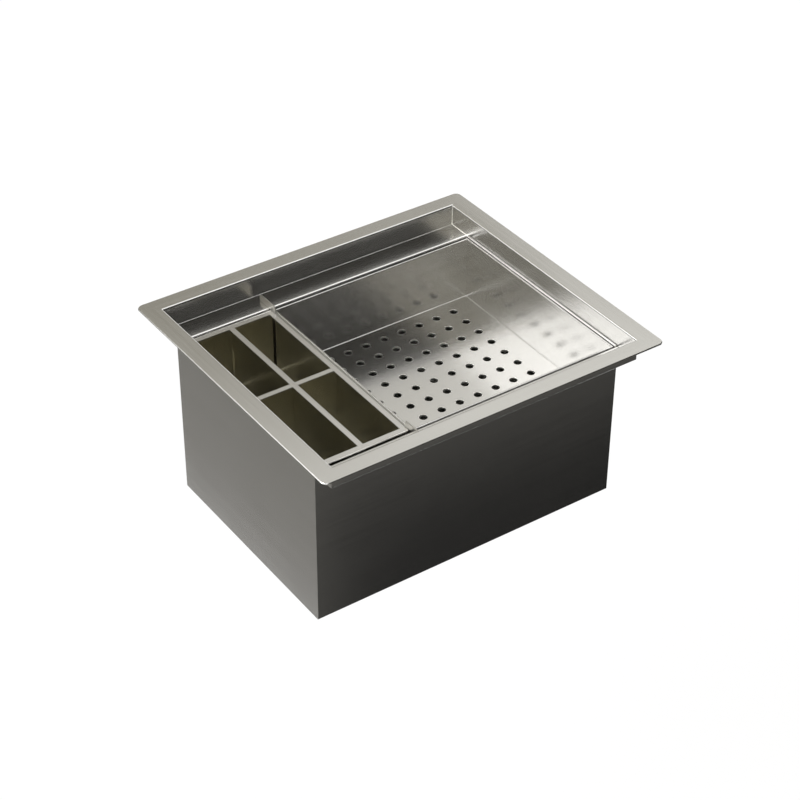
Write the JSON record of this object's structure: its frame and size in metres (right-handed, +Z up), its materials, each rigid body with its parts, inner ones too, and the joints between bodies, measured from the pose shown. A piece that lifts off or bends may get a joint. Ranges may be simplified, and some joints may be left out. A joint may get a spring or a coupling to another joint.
{
  "type": "drop-in wet channel",
  "caption": "Drop-in stainless basin with stepped ledges, a utensil insert and a perforated tray on rails, a divider plate between them and a basket waste in the floor.",
  "frame": {"origin": "centre of the worktop cut-out, on the worktop's surface, under the compressed rim seal", "axes": "+X to the right along the long side, +Y to the rear, +Z up out of the basin"},
  "size_m": [0.437, 0.38, 0.3017],
  "materials": {
    "sheet_steel": "brushed",
    "turned_steel": "satin",
    "foam_seal": "matte",
    "rubber_seal": "matte",
    "slip_ring": "matte"
  },
  "bodies": {
    "sink": {"rim_frame": "sheet_steel", "rear_wall": "sheet_steel", "front_wall": "sheet_steel", "right_end_plate": "sheet_steel", "left_end_plate": "sheet_steel", "basin_floor": "sheet_steel", "rear_clip_rail": "sheet_steel", "front_clip_rail": "sheet_steel", "right_clip_rail": "sheet_steel", "left_clip_rail": "sheet_steel", "right_guide_strip": "sheet_steel", "left_guide_strip": "sheet_steel", "rear_support_rail": "sheet_steel", "front_support_rail": "sheet_steel", "rim_seal": "foam_seal", "waste_cup": "turned_steel", "waste_outlet": "turned_steel", "waste_top_seal": "rubber_seal", "waste_under_seal": "rubber_seal", "waste_slip_ring": "slip_ring", "waste_lock_nut": "turned_steel"},
    "insert": {"insert_grid": "sheet_steel", "insert_box": "sheet_steel", "long_partition": "sheet_steel", "cross_partitions": "sheet_steel"},
    "tray": {"perforated_tray": "sheet_steel"},
    "divider": {"divider_plate": "sheet_steel"},
    "basket": {"basket_stopper": "rubber_seal", "basket_cup": "turned_steel", "basket_post": "turned_steel"}
  },
  "joints": [
    {"name": "insert_lift", "type": "slide", "parent": "sink", "child": "insert", "axis": [0, 0, 1], "range_m": [0, 0.12]},
    {"name": "tray_lift", "type": "slide", "parent": "sink", "child": "tray", "axis": [0, 0, 1], "range_m": [0, 0.12]},
    {"name": "divider_lift", "type": "slide", "parent": "sink", "child": "divider", "axis": [0, 0, 1], "range_m": [0, 0.1]},
    {"name": "basket_lift", "type": "slide", "parent": "sink", "child": "basket", "axis": [0, 0, 1], "range_m": [0, 0.09]}
  ]
}
